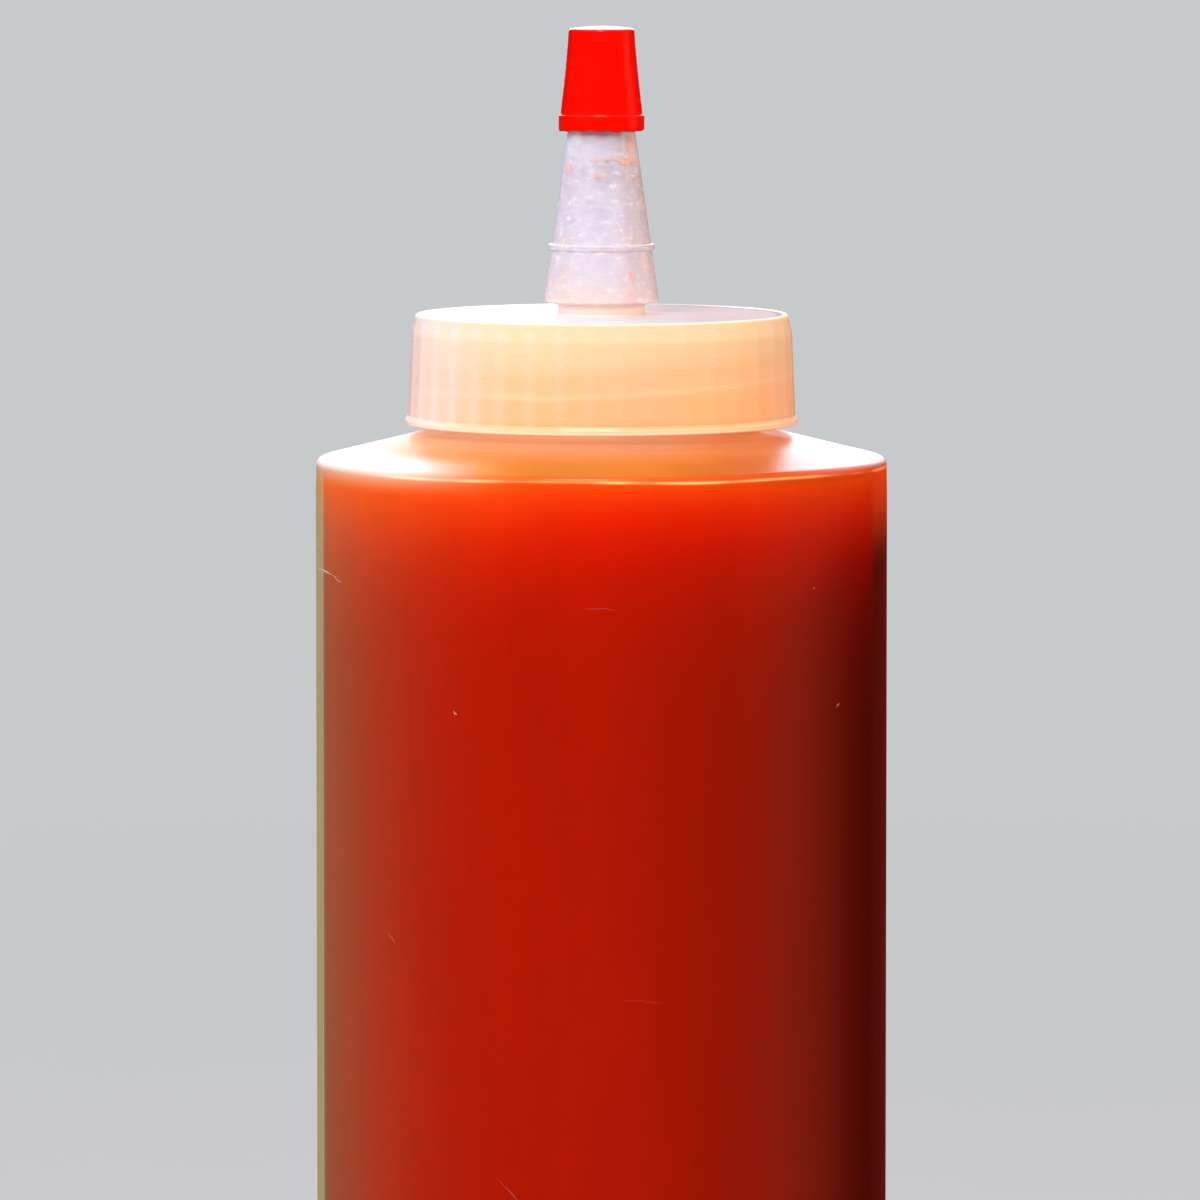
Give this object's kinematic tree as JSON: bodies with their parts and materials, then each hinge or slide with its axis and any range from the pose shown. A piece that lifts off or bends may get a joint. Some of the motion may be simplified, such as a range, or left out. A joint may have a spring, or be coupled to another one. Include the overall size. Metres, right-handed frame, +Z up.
{
  "type": "sauce squeeze bottle",
  "caption": "Cylinder squeeze bottle of milky plastic full of orange-red barbecue sauce, with a ribbed screw cap, long conical spout and red push-on tip.",
  "frame": {"origin": "middle of the ring that the bottle stands on, at the bottom of its bounding box", "axes": "+Z up along the bottle's axis towards the spout; the pictured side faces -Y"},
  "size_m": [0.0598, 0.0598, 0.1906],
  "materials": {
    "bottle_plastic": "natural polyethylene, milky and see-through in a thin wall, softly glossy",
    "cap_plastic": "natural polyethylene, milky, shallow ribs, smooth glossy disc",
    "tip_plastic": "opaque red polyethylene, softly glossy",
    "sauce": "smooth thick orange-red sauce, wet"
  },
  "bodies": {
    "root": {"bottle": "bottle_plastic", "spout_cap": "cap_plastic", "tip_cap": "tip_plastic", "sauce": "sauce"}
  },
  "joints": []
}
